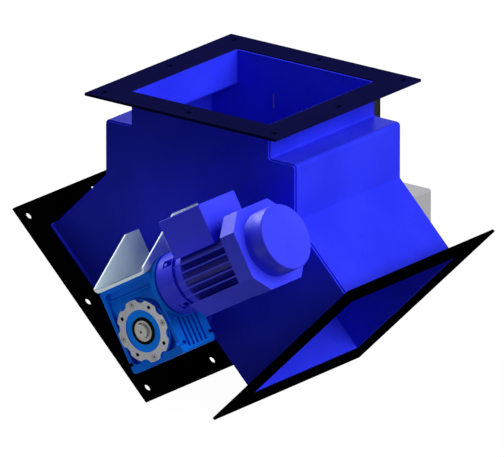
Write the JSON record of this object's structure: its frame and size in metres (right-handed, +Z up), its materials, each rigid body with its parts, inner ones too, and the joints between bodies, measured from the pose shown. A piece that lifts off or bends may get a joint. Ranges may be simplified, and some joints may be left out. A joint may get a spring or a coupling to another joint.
{
  "type": "bulk diverter valve",
  "caption": "Square two-way trouser diverter for bulk solids: flanged inlet, sloping flanged outlets, and a sealed flap turned by a worm gear motor.",
  "frame": {"origin": "centre of the inlet flange's top face", "axes": "+Z up out of the inlet, +X towards the right-hand outlet, flap shaft along Y with the gear motor on the -Y side"},
  "size_m": [0.5856, 0.5718, 0.4285],
  "materials": {
    "housing_paint": "powder coat, semi gloss",
    "flange_paint": "powder coat, satin",
    "gear_paint": "paint on cast metal, semi gloss",
    "motor_paint": "paint on cast metal, satin",
    "galvanised": "galvanised",
    "bearing_paint": "painted cast iron",
    "bronze": "machined",
    "rubber": "matt",
    "copper": "enamelled wire",
    "light_plastic": "moulded",
    "dark_plastic": "moulded",
    "bare_steel": "machined"
  },
  "bodies": {
    "housing": {"inlet_flange": "flange_paint", "left_outlet_flange": "flange_paint", "right_outlet_flange": "flange_paint", "front_plate": "housing_paint", "back_plate": "housing_paint", "left_side_plate": "housing_paint", "right_side_plate": "housing_paint", "crotch_plate": "housing_paint", "front_bearing_housing": "bearing_paint", "rear_bearing_housing": "bearing_paint", "shaft_bushes": "bronze", "packing_rings": "rubber", "wall_studs": "galvanised", "wall_nuts": "galvanised", "gear_housing": "gear_paint", "gear_cover": "gear_paint", "gear_cover_screws": "bare_steel", "output_bearings": "bare_steel", "oil_seals": "rubber", "worm_bearings": "bare_steel", "worm_bore_cap": "gear_paint", "gear_bracket": "galvanised", "foot_screws": "galvanised", "motor_end_shield": "motor_paint", "motor_flange_screws": "bare_steel", "stator_housing": "motor_paint", "fan_end_shield": "motor_paint", "stator_core": "bare_steel", "stator_windings": "copper", "motor_bearings": "bare_steel", "fan_cowl": "motor_paint", "terminal_box": "motor_paint", "terminal_box_lid": "motor_paint", "lid_screws": "bare_steel", "terminal_block": "dark_plastic", "cable_entry_plugs": "dark_plastic", "switch_box": "light_plastic", "switch_cover": "light_plastic", "switch_standoffs": "galvanised", "limit_switches": "dark_plastic", "sensor_box": "dark_plastic", "sensor_lid": "dark_plastic", "sensor_window": "light_plastic"},
    "flap": {"flap_shaft": "bare_steel", "flap_blade": "bare_steel", "flap_seal": "rubber", "seal_clamp": "galvanised", "seal_bolts": "galvanised", "seal_nuts": "galvanised", "hollow_shaft": "bare_steel", "worm_wheel": "bronze", "shaft_key": "bare_steel", "shaft_end_screw": "bare_steel", "switch_cam": "bare_steel"},
    "rotor": {"worm_shaft": "bare_steel", "motor_shaft": "bare_steel", "rotor_core": "bare_steel", "cooling_fan": "dark_plastic"}
  },
  "joints": [
    {"name": "flap_swing", "type": "hinge", "parent": "housing", "child": "flap", "pos_m": [0, 0, -0.28887], "axis": [0, 1, 0], "range_deg": [-76, 0]},
    {"name": "rotor_spin", "type": "hinge", "parent": "housing", "child": "rotor", "pos_m": [-0.02, -0.2083, -0.25423], "axis": [0.866, 0, 0.5], "range_deg": [0, 2280]}
  ],
  "couplings": [
    {"joint": "rotor_spin", "follows": "flap_swing", "ratio": -30}
  ]
}
